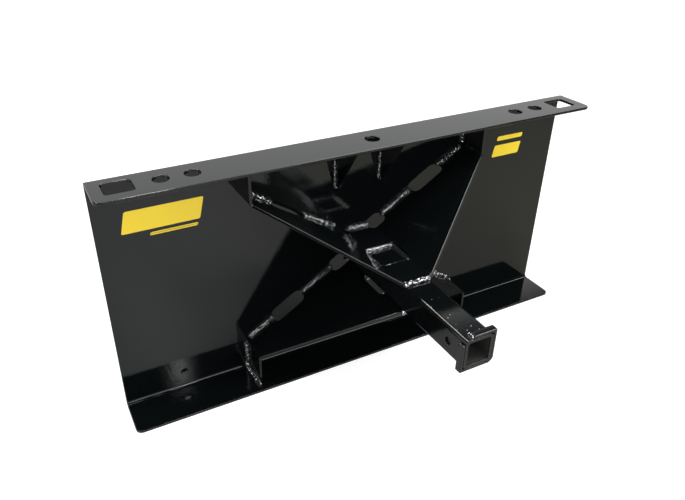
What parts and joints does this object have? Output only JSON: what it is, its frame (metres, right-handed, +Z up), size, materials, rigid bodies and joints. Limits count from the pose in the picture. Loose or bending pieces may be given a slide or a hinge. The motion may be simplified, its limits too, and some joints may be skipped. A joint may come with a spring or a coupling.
{
  "type": "loader receiver hitch",
  "caption": "Welded steel hitch plate with folded flanges and crossed folded braces that carry a square receiver tube for a ball mount.",
  "frame": {"origin": "centre of the footprint, on the surface that the lower flange stands on", "axes": "+X along the mounting plate, to the right as one looks into the receiver's mouth; the mouth points to -Y; +Z up"},
  "size_m": [1.143, 0.4552, 0.5435],
  "materials": {
    "gloss_black": "gloss",
    "painted_weld": "gloss, rippled",
    "yellow_vinyl": "gloss"
  },
  "bodies": {
    "root": {"mounting_plate": "gloss_black", "upper_brace": "gloss_black", "lower_brace": "gloss_black", "receiver_tube": "gloss_black", "collar_upper_angle": "gloss_black", "collar_lower_angle": "gloss_black", "flange_rib_left": "gloss_black", "flange_rib_right": "gloss_black", "upper_left_inner_stitch_weld": "painted_weld", "upper_left_outer_stitch_weld": "painted_weld", "upper_right_inner_stitch_weld": "painted_weld", "upper_right_outer_stitch_weld": "painted_weld", "upper_centre_weld": "painted_weld", "lower_left_inner_stitch_weld": "painted_weld", "lower_left_outer_stitch_weld": "painted_weld", "lower_right_inner_stitch_weld": "painted_weld", "lower_right_outer_stitch_weld": "painted_weld", "lower_centre_weld": "painted_weld", "upper_left_leg_weld": "painted_weld", "upper_right_leg_weld": "painted_weld", "lower_left_leg_weld": "painted_weld", "lower_right_leg_weld": "painted_weld", "upper_front_weld": "painted_weld", "upper_window_rear_weld": "painted_weld", "upper_window_front_weld": "painted_weld", "lower_front_weld": "painted_weld", "lower_window_rear_weld": "painted_weld", "lower_window_front_weld": "painted_weld", "tube_root_weld_left": "painted_weld", "tube_root_weld_right": "painted_weld", "rib_weld_left": "painted_weld", "rib_weld_right": "painted_weld", "collar_upper_weld": "painted_weld", "collar_corner_weld": "painted_weld"}
  },
  "joints": []
}
